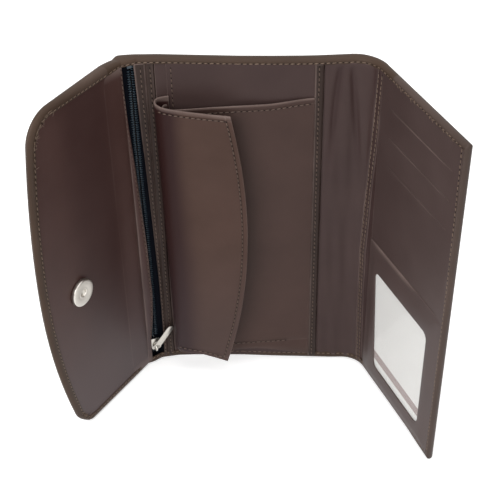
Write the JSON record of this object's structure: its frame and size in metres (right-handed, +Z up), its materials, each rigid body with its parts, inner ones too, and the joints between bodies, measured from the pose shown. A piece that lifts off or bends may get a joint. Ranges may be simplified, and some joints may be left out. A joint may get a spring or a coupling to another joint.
{
  "type": "folding wallet",
  "caption": "Long folding wallet standing open, with a zip fold, a snap flap, a page-like leaf, an open pocket, card slits and a window card pocket.",
  "frame": {"origin": "bottom centre of the standing wallet's bounding box, on the surface it stands on", "axes": "+Z up along the folds, +X from the snap flap to the card panel, +Y from the inside to the back"},
  "size_m": [0.1912, 0.08, 0.19],
  "materials": {
    "cover_leather": "dark brown smooth leather, semi-matt",
    "lining_leather": "dark brown fine-grained leather, slight sheen",
    "board": "plain stiffening board",
    "pocket_cloth": "dark woven pocket cloth",
    "zip_tape": "near-black woven tape",
    "zip_coil": "dark moulded coil",
    "nickel": "satin nickel plating",
    "clear_film": "clear flexible film",
    "card": "plain light grey card"
  },
  "bodies": {
    "back_panel": {"back_cover": "cover_leather", "back_board": "board", "zip_pocket_bag": "pocket_cloth", "back_lining": "lining_leather", "bill_pocket_panel": "lining_leather", "front_pocket_panel": "lining_leather", "pocket_edge_binding": "lining_leather"},
    "left_fold": {"fold_cover": "cover_leather", "fold_lining": "lining_leather", "zip_edge_strip": "lining_leather", "zip_tape_flap_side": "zip_tape", "zip_tape_centre_side": "zip_tape", "zip_teeth_flap_side": "zip_coil", "zip_teeth_centre_side": "zip_coil", "zip_bottom_stop": "nickel", "zip_top_stop": "nickel", "flap_fold_bend": "cover_leather"},
    "flap": {"flap_cover": "cover_leather", "flap_board": "board", "flap_lining": "lining_leather", "snap_socket": "nickel", "socket_washer": "nickel"},
    "leaf": {"leaf_front_ply": "lining_leather", "leaf_back_ply": "lining_leather"},
    "spine": {"spine_cover": "cover_leather", "spine_lining": "lining_leather", "spine_bend": "cover_leather"},
    "card_panel": {"card_panel_cover": "cover_leather", "card_board": "board", "card_pocket_cloth": "pocket_cloth", "card_lining": "lining_leather", "card_side_lining": "lining_leather", "window_pocket": "lining_leather", "window_film": "clear_film", "snap_stud": "nickel", "stud_washer": "nickel"},
    "slider": {"zip_slider": "nickel"},
    "puller": {"zip_puller": "nickel"},
    "window_card": {"display_card": "card"}
  },
  "joints": [
    {"name": "fold_turn", "type": "hinge", "parent": "back_panel", "child": "left_fold", "pos_m": [-0.03969, 0.03508, 0], "axis": [0, 0, 1], "range_deg": [0, 48]},
    {"name": "flap_turn", "type": "hinge", "parent": "left_fold", "child": "flap", "pos_m": [-0.05432, 0.03191, 0], "axis": [0, 0, 1], "range_deg": [-57.5, 59], "deforming": ["flap_fold_bend"]},
    {"name": "leaf_turn", "type": "hinge", "parent": "back_panel", "child": "leaf", "pos_m": [-0.03719, 0.02718, 0], "axis": [0, 0, 1], "range_deg": [-85, 4]},
    {"name": "spine_turn", "type": "hinge", "parent": "back_panel", "child": "spine", "pos_m": [0.03881, 0.03508, 0], "axis": [0, 0, -1], "range_deg": [0, 75]},
    {"name": "card_panel_turn", "type": "hinge", "parent": "spine", "child": "card_panel", "pos_m": [0.05958, 0.03272, 0], "axis": [0, 0, -1], "range_deg": [-67.5, 46], "deforming": ["spine_bend"]},
    {"name": "zip_slide", "type": "slide", "parent": "left_fold", "child": "slider", "axis": [0, 0, 1], "range_m": [0, 0.16]},
    {"name": "puller_turn", "type": "hinge", "parent": "slider", "child": "puller", "pos_m": [-0.04954, 0.03322, 0.01047], "axis": [-0.8864, -0.3947, 0.2419], "range_deg": [-70, 2]},
    {"name": "card_slide", "type": "slide", "parent": "card_panel", "child": "window_card", "axis": [0, 0, 1], "range_m": [0, 0.06]}
  ]
}
